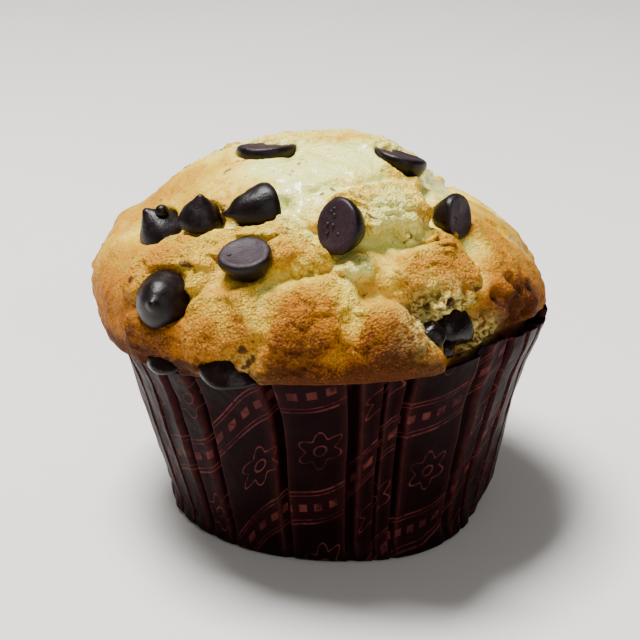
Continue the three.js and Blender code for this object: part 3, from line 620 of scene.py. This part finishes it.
q = wandered(p)
q = q + 0.55 * drift(p, 2.1, 5, 29, 53)
q = q + 0.25 * drift(p, 0.9, 7, 31, 59)
plate = plates_at(q, 0.78, 1.06)
tear = tears_at(q)
crumb = np.clip(spots_at(CRUMB), 0, 1)
calm = np.clip(spots_at(CALM), 0, 1)
lower_edge = smoothstep(elevation, lip_low(azimuth) - 2, lip_low(azimuth)) * (
    1 - smoothstep(elevation, lip_low(azimuth) + 2, lip_low(azimuth) + 6))
gritty = np.clip(0.45 + 0.4 * plate - 0.1 * tear, 0, 1) * (1 - 0.8 * calm)
gritty = np.maximum(gritty, spots_at(GRITTY))
level = 1 - 0.8 * np.clip(spots_at(LEVELLED), 0, 1)
block, block_edge = crazed(q, 3.6, 9)
crag, crag_edge = crazed(q, 1.9, 27)
cracked = (1 - smoothstep(block_edge, 0.02, 0.2)) * smoothstep(uneven(p, 5, 67), -0.1, 0.5)
relief = level * (plate - tear) + 0.35 * uneven(p, 6, 5) + 0.25 * uneven(p, 3, 91) + spots_at(LUMPS) - spots_at(HOLES)
relief += gritty * (0.62 * block * smoothstep(block_edge, 0, 0.3) + 0.40 * crag * smoothstep(crag_edge, 0, 0.3))
relief += gritty * (0.22 * (1 - 2 * np.abs(uneven(p, 1.4, 43))) - 0.42 * cracked)
relief += crumb * (0.8 * uneven(p, 2.2, 23) + 0.6 * crag - 0.8 * (1 - smoothstep(crag_edge, 0, 0.25)))
relief += 0.10 * uneven(p, 1.5, 13) * (1 - 0.5 * calm) + 0.5 * lower_edge * uneven(p, 2.4, 33)
spot = crust_points(azimuth, elevation, relief)

# From the cleft round to the right, where the paper stands free, the crust stays inside it.
CRUST_CLEAR = 0.3
PAPER_FREE_AT = 80  # azimuth of the middle of that stretch
PAPER_FREE_HALF = 50
from_axis = spot[:, :2] - np.stack([CASE_LEAN * spot[:, 2] / CASE_HEIGHT, 0 * azimuth], axis=-1)
reach = np.linalg.norm(from_axis, axis=1)
room = case_radius(spot[:, 2], azimuth) - DEEPEST_FOLD * fold_depth(spot[:, 2]) - PAPER_SHOWN - CRUST_CLEAR
rim_z = CASE_HEIGHT + sum(locally(lift, azimuth) for lift in RIM_LIFTS)
turn = np.abs((azimuth - PAPER_FREE_AT + 540) % 360 - 180)
paper_free = (1 - smoothstep(turn, PAPER_FREE_HALF - 4, PAPER_FREE_HALF + 4)) * (
    1 - smoothstep(spot[:, 2], rim_z + 0.3, rim_z + 1.6))
spot[:, :2] -= from_axis * (np.maximum(0, reach - room) * paper_free / reach)[:, None]

# Round each chip the batter has set in a low collar with a fine crease, and under the chip it gives way.
COLLAR_SEARCH = 9  # no chip's collar reaches further than this from the chip's middle
outward = direction(azimuth, elevation)
beside_chip = np.zeros(len(spot))
for name, (_, _, _, tip_azimuth, tip_elevation, size, tall, plump) in CHIPS.items():
    axis = direction(tip_azimuth, tip_elevation)
    near = np.linalg.norm(spot - chip_seats[name], axis=1) < COLLAR_SEARCH
    from_seat = spot[near] - chip_seats[name]
    h = from_seat @ axis
    across = np.linalg.norm(from_seat - h[:, None] * axis, axis=1)
    side = chip_side(np.clip(h / (CHIP_H * size * tall) + 0.5, 0, 1), plump) * CHIP_R * size
    clear = np.maximum(across - side, np.abs(h) - CHIP_H * size * tall / 2)
    move = 0.35 * bell((clear - 1.1) / 0.7) - 0.45 * bell(clear / 0.35)
    move -= 0.9 * smoothstep(-clear, 0, 1.2)
    spot[near] += outward[near] * move[:, None]
    beside_chip[near] = np.maximum(beside_chip[near], bell(np.maximum(clear, 0) / 0.7))
cake.data.vertices.foreach_set("co", (spot * MM).ravel())

# How brown each place is baked, with painted shade along the lip's lower edge; where the pale crumb is open; and
# where chocolate ran from a chip as the batter moved, with painted shade in the gaps between the chips.
BLUSHES = [
    (-24, 10, 3.5, 0.06), (-7, 9.5, 5, 0.2), (-7, 3, 5, 0.03), (-14, -2, 6, 0.05), (4, 0, 6, 0.10), (15, 4, 5, 0.29),
    (22, 1, 3, 0.10), (36, 21, 4, 0.08), (25, 22, 2.5, 0.06), (44, 56, 1.5, 0.25), (57, 46, 1.8, 0.3),
    # (22, 38) and (28, 35) are the block's front face: pale crust, painted paler still as fill light against its shade.
    (22, 38, 8, -0.34), (28, 35, 5, -0.26), (-30, 20, 5, -0.08), (-8, 18, 5, -0.16), (-79, 12, 9, -0.06),
    (72, 22, 10, 0.05), (-79, 47, 4, 0.15), (-76, 38, 4, 0.12), (-86, 30, 5, 0.08), (160, 86, 4, 0.2),
    (-42, 66, 2.5, 0.15), (74, 17, 6, 0.02), (60, 4, 5, 0.34), (68, 3, 4, 0.30), (53, 4, 4, 0.32), (47, 7, 3, 0.2),
    (36, -2, 5, 0.5), (47, -2, 5, 0.45), (-58, 4, 5, 0.08), (-45, 0, 6, 0.22), (-71, 6, 6, 0.12), (-20, 28, 6, -0.10),
    (-40, 24, 5, -0.10), (-25, 62, 8, -0.3), (20, 76, 8, -0.2), (-18, 45, 4, -0.3), (-16, 35, 4, -0.2),
    (18, 30, 3, -0.2), (6, 22, 2.5, -0.5), (10, 23, 2, -0.4), (18, 21, 1.5, -0.2), (4, 12, 2.2, -0.3),
    (-35, 18, 3.5, -0.2), (-18, 12, 2, -0.25), (-56, 16, 3, -0.1), (-20, 16, 2.5, -0.1), (57, 22, 2, -0.2),
    # (53, 74) and (-20, 53) are pale lumps on the moist top, painted paler still as highlights where glints fall.
    (26, 15, 2.5, -0.15), (53, 74, 1.5, -0.4), (-20, 53, 2, -0.3), (60, 40, 3, -0.15),
]
BACK_BLUSHES = 16
random = random_from(31)
for n in range(BACK_BLUSHES):
    BLUSHES.append((lerp(100, 262, next(random)), lerp(-2, 60, next(random)), lerp(2.5, 6, next(random)),
                    lerp(-0.3, 0.28, next(random))))
SMEARS = [
    ((-68, 51), (-66, 45)), ((-70, 55), (-69, 60)), ((-7, 47), (-6, 50)), ((-2, 54), (2, 51)), ((-48, 20), (-43, 18.5)),
    ((-43, 18), (-40, 17.5)), ((-36, 12), (-35.5, 12)), ((-6, 20), (-5.5, 20.3)), ((-6, 14), (-6, 13.5)),
    ((-2, 10), (-1.5, 10)), ((38, 13), (42, 13.5)), ((48, 8), (51, 4)), ((60, 8), (60, 4)), ((42, 5), (44, 4)),
    ((72, 4), (71, 2)), ((-9, 30), (-6, 28.5)), ((14, 38), (15, 37)), ((-14, 8), (-13, 7)), ((-20, 4), (-19, 3)),
    ((23, 11), (25, 11.5)), ((29, 11.5), (31, 10)), ((33, 8), (35, 8)), ((18, 9), (19, 8)), ((-54, 12), (-53.5, 12)),
    ((-17, 1), (-19, -1)), ((56, 7), (58, 9)), ((64, 6), (66, 8)), ((27, 30), (30, 31)), ((130, 12), (133, 14)),
    ((150, 28), (153, 27)), ((172, 14), (174, 12)), ((190, 30), (193, 31)), ((205, 12), (207, 10)),
    ((232, 14), (236, 15)), ((33, -1), (38, -2)), ((42, 0), (46, -1)), ((50, 10), (49, 8)), ((67, 6), (67, 4)),
]
SMEAR_WIDTH = 0.6
# Spots of run chocolate; (-62, 28), (-46.3, 36) and (-45.2, 33.3), in gaps between chips, are partly painted shade.
CHOCOLATE_SPOTS_AND_GAP_SHADE = [
    (53, 4, 2.5, 0.45), (60, 6, 2, 0.45), (33, 3, 3, 0.5), (-30, -3, 4, 0.4), (-46.3, 36, 1.3, 0.8),
    (-45.2, 33.3, 1.2, 0.8), (-62, 28, 1.2, 0.8), (-40, -5.8, 2.2, 0.8), (-34, -5, 2, 0.8),
]
height = smoothstep(elevation, 20, 62)
baked = 0.52 + 0.22 * smoothstep(-elevation, -12, 6) - 0.38 * height + 0.03 * plate - 0.15 * tear
# Along the lip's lower edge the tone is pushed darker: partly its own browning, partly painted shade under the
# overhang.
baked += spots_at(BLUSHES) + 0.22 * lower_edge + 0.06 * uneven(p, 6, 97) + 0.05 * uneven(p, 2.5, 47)
baked += 0.05 * gritty * block
chocolate_run_and_gap_shade = np.zeros(len(spot))
for start, end in SMEARS:
    chocolate_run_and_gap_shade = np.maximum(chocolate_run_and_gap_shade, bell(reach_to_line(q, [start, end]) / SMEAR_WIDTH))
chocolate_run_and_gap_shade = np.maximum(chocolate_run_and_gap_shade, spots_at(CHOCOLATE_SPOTS_AND_GAP_SHADE))
for name, values in (("baked", baked), ("open_crumb", crumb), ("chocolate_run_and_gap_shade", chocolate_run_and_gap_shade), ("gritty", gritty),
                     ("beside_chip", beside_chip), ("cracked", gritty * cracked)):
    cake.data.attributes.new(name, "FLOAT", "POINT").data.foreach_set("value", np.clip(values, 0, 1))
bpy.ops.object.shade_smooth()

baked_crust, tree = new_tree("baked_muffin_crust")  # sugar and egg skin: satin where pale and moist, matt where browned
where = add_node(tree, "ShaderNodeTexCoord").outputs["Object"]
drawn = {name: add_node(tree, "ShaderNodeAttribute", {"attribute_name": name}).outputs["Fac"]
         for name in ("baked", "open_crumb", "chocolate_run_and_gap_shade", "gritty", "beside_chip", "cracked")}
for name, size, detail in (("grit", 0.38, 3.0), ("coarse", 1.6, 5.0), ("holes", 1.0, 3.0), ("patches", 6, 3.0)):
    drawn[name] = add_node(tree, "ShaderNodeTexNoise", sockets={
        "Vector": where, "Scale": cells_of(size), "Detail": detail})
drawn["grains"] = add_node(tree, "ShaderNodeTexVoronoi", sockets={"Vector": where, "Scale": cells_of(0.55)})
# The tone runs from pale to burnt, and the height of the fine relief is in millimetres. Moist skin lies under a thin
# glossy film where it is pale, which browning dries up.
CRUST_STEPS = (
    ("grit_off", "SUBTRACT", "grit", 0.5), ("grain_off", "SUBTRACT", 0.42, "grains"),
    ("coarse_off", "SUBTRACT", "coarse", 0.5), ("patch_off", "SUBTRACT", "patches", 0.5),
    ("gritty_more", "MULTIPLY_ADD", "gritty", 0.85, 0.15),
    ("grit_tone", "MULTIPLY", "grit_off", 0.75), ("fine_tone", "MULTIPLY_ADD", "grain_off", -0.16, "grit_tone"),
    ("rough_tone", "MULTIPLY", "fine_tone", "gritty_more"),
    ("tone_1", "MULTIPLY_ADD", "patch_off", 0.22, "baked"),
    ("tone_2", "MULTIPLY_ADD", "coarse_off", 0.22, "tone_1"),
    ("gold_1", "MULTIPLY_ADD", "coarse_off", 3.0, 0.1), ("gold_2", "MULTIPLY_ADD", "patch_off", 3.0, "gold_1"),
    ("gold_3", "MAXIMUM", "gold_2", 0.0), ("gold_4", "MINIMUM", "gold_3", 0.55),
    ("unbaked", "SUBTRACT", 1.0, "baked"), ("half_baked", "MULTIPLY", "unbaked", "baked"),
    ("gold_5", "MULTIPLY", "gold_4", "half_baked"), ("gold", "MULTIPLY", "gold_5", 4.0),
    # The cracks are made a little browner: painted shade in the crevices.
    ("tone_3", "MULTIPLY_ADD", "cracked", 0.1, "tone_2"), ("tone", "ADD", "tone_3", "rough_tone"),
    ("fleck_1", "MULTIPLY_ADD", "holes", 14.0, -9.3), ("fleck_2", "MULTIPLY_ADD", "patch_off", 4.0, "fleck_1"),
    ("fleck_3", "MAXIMUM", "fleck_2", 0.0), ("fleck", "MINIMUM", "fleck_3", 0.75),
    ("open_share", "MULTIPLY", "open_crumb", 0.8),
    # The crumb's pale walls, and the pits between them, painted dark as the shade inside them.
    ("wall_1", "MULTIPLY_ADD", "holes", 6.0, -2.4), ("wall_2", "MAXIMUM", "wall_1", 0.0),
    ("wall", "MINIMUM", "wall_2", 1.0),
    # Chocolate that ran into the crust, and painted shade in the gaps between chips.
    ("run_and_gap_1", "MULTIPLY_ADD", "coarse_off", 1.6, "chocolate_run_and_gap_shade"), ("run_and_gap_2", "MULTIPLY_ADD", "run_and_gap_1", 4.0, -1.75),
    ("run_and_gap_3", "MAXIMUM", "run_and_gap_2", 0.0), ("run_and_gap_shade_share", "MINIMUM", "run_and_gap_3", 0.85),
    # A darker brown ring round each chip: partly stained by its chocolate, partly painted shade where the crust meets
    # it.
    ("chip_ring_1", "ADD", "beside_chip", "coarse_off"), ("chip_ring_2", "MULTIPLY_ADD", "chip_ring_1", 1.2, -0.7),
    ("chip_ring_3", "MAXIMUM", "chip_ring_2", 0.0), ("chocolate_and_contact_shade_ring", "MINIMUM", "chip_ring_3", 0.5),
    ("high_0", "MULTIPLY_ADD", "gritty", 0.8, 0.04), ("high_1", "MULTIPLY", "coarse", "high_0"),
    ("rough_1", "MULTIPLY", "grit", 0.6), ("rough_2", "MULTIPLY_ADD", "grains", -0.25, "rough_1"),
    ("high_2", "MULTIPLY_ADD", "rough_2", "gritty_more", "high_1"),
    ("wall_high", "MULTIPLY", "wall", "open_crumb"), ("high_3", "MULTIPLY_ADD", "wall_high", 0.5, "high_2"),
    ("high", "MULTIPLY_ADD", "cracked", -0.25, "high_3"), ("moist", "MULTIPLY_ADD", "gritty", -0.2, 0.2),
    ("matt_1", "MULTIPLY_ADD", "tone", 0.55, 0.12), ("matt_2", "MULTIPLY_ADD", "gritty", 0.1, "matt_1"),
    ("matt_3", "MAXIMUM", "matt_2", 0.13), ("matt", "MINIMUM", "matt_3", 0.75),
    ("sheen_1", "MULTIPLY_ADD", "tone", -0.6, 0.55), ("sheen", "MAXIMUM", "sheen_1", 0.12),
    ("film_1", "MULTIPLY_ADD", "baked", -2.6, 0.9), ("film_2", "MULTIPLY_ADD", "gritty", -0.8, "film_1"),
    ("film", "MAXIMUM", "film_2", 0.0))
for name, operation, *terms in CRUST_STEPS:
    drawn[name] = add_node(tree, "ShaderNodeMath", {"operation": operation}, {
        n: drawn.get(term, term) for n, term in enumerate(terms)})
browning = add_node(tree, "ShaderNodeValToRGB", sockets={"Fac": drawn["tone"]})
BROWNS = ((0.0, "#eef08a"), (0.14, "#f4dc5c"), (0.28, "#e6c034"), (0.42, "#cfa71e"), (0.57, "#b78218"),
          (0.72, "#9a5c14"), (0.86, "#76400e"), (1.0, "#4c2408"))
while len(browning.color_ramp.elements) < len(BROWNS):
    browning.color_ramp.elements.new(0.5)
for element, (place, colour) in zip(browning.color_ramp.elements, BROWNS):
    element.position = place
    element.color = linear(colour)
# The open crumb: pale walls, with the pits between them painted dark brown as the shade inside them.
inside = add_node(tree, "ShaderNodeMix", COLOURS, {
    "Factor": drawn["wall"], 6: linear("#7a4f1f"), 7: linear("#ecd878")})
shown = browning
# Over the browning: gold, open crumb, flecks, run chocolate, and each chip's ring; the last two hold painted shade.
for share, colour in (("gold", linear("#d0860c")), ("open_share", inside), ("fleck", linear("#5a3210")),
                      ("run_and_gap_shade_share", linear("#321710")), ("chocolate_and_contact_shade_ring", linear("#52300f"))):
    shown = add_node(tree, "ShaderNodeMix", COLOURS, {"Factor": drawn[share], 6: shown, 7: colour})
bumps = add_node(tree, "ShaderNodeBump", sockets={"Height": drawn["high"], "Distance": MM, "Strength": 1.0})
baked_skin = add_node(tree, "ShaderNodeBsdfPrincipled", sockets={
    "Base Color": shown, "Roughness": drawn["matt"], "Specular IOR Level": drawn["sheen"], "IOR": 1.42,
    "Subsurface Weight": drawn["moist"], "Subsurface Radius": (1.0, 0.7, 0.4), "Subsurface Scale": 0.8 * MM,
    "Coat Weight": drawn["film"], "Coat Roughness": 0.1, "Coat IOR": 1.4, "Normal": bumps})
add_node(tree, "ShaderNodeOutputMaterial", sockets={"Surface": baked_skin})
cake.data.materials.append(baked_crust)
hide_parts("cake")
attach(cake, "root")

# ---- chocolate chips ----
# Dark chocolate dropped warm on a cold belt, so each has a flat dull base with a round rim and a side drawn up to a
# small tip. They were stirred into the batter and lie as it left them. Those under the lip and in the cleft have
# melted.
chocolates = {}
for kind, colours, matt, ridge in (
        ("dark_chocolate", ("#0b0505", "#190e0f", "#221418", "#32222a"), 0.38, 0.10),
        ("melted_chocolate", ("#0a0403", "#1a0c09", "#0f0706", "#1d0f0d"), 0.22, 0.14)):
    chocolates[kind], tree = new_tree(kind)  # the first is satin, with a dull bloom where it lay on the belt
    where = add_node(tree, "ShaderNodeTexCoord").outputs["Object"]
    drawn = {"bloom": add_node(tree, "ShaderNodeAttribute", {"attribute_name": "bloom"}).outputs["Fac"]}
    for name, size, detail in (("streaks", 1.4, 4.0), ("dust", 0.35, 2.0)):
        drawn[name] = add_node(tree, "ShaderNodeTexNoise", sockets={
            "Vector": where, "Scale": cells_of(size), "Detail": detail})
    for name, operation, *terms in (
            ("streak_off", "SUBTRACT", "streaks", 0.5), ("dust_off", "SUBTRACT", "dust", 0.5),
            ("streak_share", "MULTIPLY_ADD", "streak_off", 2.9, 0.5),
            ("dust_share", "MULTIPLY_ADD", "dust_off", 2.5, 0.5),
            ("matt_1", "MULTIPLY_ADD", "streak_off", 0.3, matt), ("matt", "MULTIPLY_ADD", "bloom", 0.14, "matt_1"),
            ("high_1", "MULTIPLY", "streaks", ridge), ("high", "MULTIPLY_ADD", "dust", 0.03, "high_1")):
        drawn[name] = add_node(tree, "ShaderNodeMath", {"operation": operation}, {
            n: drawn.get(term, term) for n, term in enumerate(terms)})
    side, dulled = [add_node(tree, "ShaderNodeMix", COLOURS, {
        "Factor": drawn[share], 6: linear(dark), 7: linear(pale)})
        for share, dark, pale in (("streak_share", *colours[:2]), ("dust_share", *colours[2:]))]
    shown = add_node(tree, "ShaderNodeMix", COLOURS, {"Factor": drawn["bloom"], 6: side, 7: dulled})
    bumps = add_node(tree, "ShaderNodeBump", sockets={"Height": drawn["high"], "Distance": MM, "Strength": 1.0})
    cocoa = add_node(tree, "ShaderNodeBsdfPrincipled", sockets={
        "Base Color": shown, "Roughness": drawn["matt"], "Specular IOR Level": 0.2, "Normal": bumps})
    add_node(tree, "ShaderNodeOutputMaterial", sockets={"Surface": cocoa})

# The drop of size 1 is modelled once: a disc drawn up ring by ring to the tip, then inset for its flat base.
CHIP_SIDES = 48
BASE_INSETS = (0.35, 0.35, 0.5, 0.8, 1.0)
RINGS = (0.02, 0.05, 0.09, 0.14, 0.2, 0.25, 0.3, 0.36, 0.42, 0.49, 0.56, 0.62, 0.68, 0.74, 0.8, 0.84, 0.88, 0.91, 0.94,
         0.96, 0.98, 0.99, 1)
bpy.ops.object.select_all(action="DESELECT")
bpy.ops.mesh.primitive_circle_add(vertices=CHIP_SIDES, radius=SIDE_R[0] * CHIP_R * MM, fill_type="NGON")
drop = bpy.context.object
bpy.ops.object.mode_set(mode="EDIT")
bpy.ops.mesh.select_all(action="SELECT")
last_h, last_r = 0, SIDE_R[0]
for h in RINGS:
    width = float(chip_side(h, 0))
    bpy.ops.mesh.extrude_region_move(TRANSFORM_OT_translate={"value": (0, 0, (h - last_h) * CHIP_H * MM)})
    bpy.ops.transform.resize(value=(width / last_r, width / last_r, 1))
    last_h, last_r = h, width
bpy.ops.mesh.select_all(action="DESELECT")
bpy.ops.object.mode_set(mode="OBJECT")
for face in drop.data.polygons:
    face.select = len(face.vertices) == CHIP_SIDES and face.center.z < 0.5 * MM
bpy.ops.object.mode_set(mode="EDIT")
for inset in BASE_INSETS:
    bpy.ops.mesh.inset(thickness=inset * MM, use_boundary=True)
bpy.ops.mesh.select_all(action="SELECT")
bpy.ops.mesh.normals_make_consistent(inside=False)
bpy.ops.object.mode_set(mode="OBJECT")
cast = points_of(drop) / MM
cast_h = cast[:, 2] / CHIP_H
from_axis = np.linalg.norm(cast[:, :2], axis=1) / CHIP_R
on_base = cast_h < 0.001

MELTED = ("under_lip_left", "under_lip_middle", "cleft", "cleft_small")
BUBBLED = {"middle": 8, "right_shoulder": 6, "left_nub": 2, "left_dome": 2, "flat_up": 1, "back_3": 3, "back_5": 5}
# Chocolate that ran while it was soft: across, towards the back, up, and its radius.
RUNS = {"left_nub": (1.0, -0.8, 2.5, 1.15), "cleft": (0.3, -1.9, -2.2, 1.5)}
FLOW = 0.17  # how uneven a chip has become, and then a melted one
FLOW_MELTED = 0.32
CURL_FROM = 0.6  # the share of the height where the tip starts to curl over
for n, (name, (_, _, _, tip_azimuth, tip_elevation, size, tall, plump)) in enumerate(CHIPS.items()):
    random = random_from(101 + 7 * n)
    shaped = cast * [size, size, size * tall]
    shaped[:, 2] -= CHIP_H * size * tall / 2
    shaped[:, :2] *= (chip_side(cast_h, plump) / chip_side(cast_h, 0))[:, None]
    way = 2 * math.pi * next(random)
    curl = lerp(0.15, 0.6, next(random)) * np.clip((cast_h - CURL_FROM) / (1 - CURL_FROM), 0, 1) ** 2
    shaped[:, :2] += curl[:, None] * [math.cos(way), math.sin(way)]
    shaped[:, :2] *= [lerp(0.96, 1.05, next(random)), lerp(0.96, 1.05, next(random))]
    own = cast + 40 * n
    flow = FLOW_MELTED if name in MELTED else FLOW
    shaped += flow * drift(own, 2.6, 2, 12, 22)
    shaped += 0.05 * drift(own, 0.9, 3, 13, 23)
    shaped[:, 2] += on_base * (0.16 * (1 - from_axis) - 0.12 * bell((from_axis - 0.78) / 0.07))
    chip = bpy.data.objects.new("chocolate_chip_" + name, drop.data.copy())
    bpy.context.scene.collection.objects.link(chip)
    chip.data.vertices.foreach_set("co", (shaped * MM).ravel())
    bloom = chip.data.attributes.new("bloom", "FLOAT", "POINT")
    bloom.data.foreach_set("value", np.where(on_base, 1.0, 0.4 * (1 - smoothstep(cast_h, 0, 0.06))))
    chip.data.materials.append(chocolates["melted_chocolate" if name in MELTED else "dark_chocolate"])
    bpy.ops.object.select_all(action="DESELECT")
    chip.select_set(True)
    bpy.context.view_layer.objects.active = chip
    tip = Vector(direction(tip_azimuth, tip_elevation))
    chip.rotation_mode = "QUATERNION"
    chip.rotation_quaternion = Vector((0, 0, 1)).rotation_difference(tip)
    chip.location = Vector(chip_seats[name]) * MM
    if name in MELTED:
        softened = chip.modifiers.new("melted", "SMOOTH")
        softened.iterations = 10
        bpy.ops.object.modifier_apply(modifier="melted")
    placed = chip.rotation_quaternion.copy()
    bpy.ops.object.transform_apply(location=True, rotation=True, scale=True)
    beads = []  # a bubble under the base has set as a small bead, and soft chocolate has run into a larger one
    for _ in range(BUBBLED.get(name, 0)):
        bead_way, bead_out = 2 * math.pi * next(random), 0.62 * CHIP_R * size * math.sqrt(next(random))
        bead_r = lerp(0.16, 0.38, next(random))
        sunk = 0.5 * bead_r - CHIP_H * size * tall / 2 + 0.08
        beads.append((Vector((bead_out * math.cos(bead_way), bead_out * math.sin(bead_way), sunk)), bead_r, 0.8))
    if name in RUNS:
        *run, run_r = RUNS[name]
        beads.append((placed.inverted() @ Vector(run), run_r, 0.0))
    for middle, bead_r, dulling in beads:
        bpy.ops.mesh.primitive_ico_sphere_add(
            subdivisions=3, radius=bead_r * MM, location=(Vector(chip_seats[name]) + placed @ middle) * MM)
        bead_bloom = bpy.context.object.data.attributes.new("bloom", "FLOAT", "POINT")
        bead_bloom.data.foreach_set("value", np.full(len(bpy.context.object.data.vertices), dulling))
        bpy.context.object.data.materials.append(chip.data.materials[0])
        chip.select_set(True)
        bpy.context.view_layer.objects.active = chip
        bpy.ops.object.join()
    bpy.ops.object.shade_smooth_by_angle(angle=math.radians(40))
    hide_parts("chip_" + name)
    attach(chip, "root")
bpy.data.objects.remove(drop)
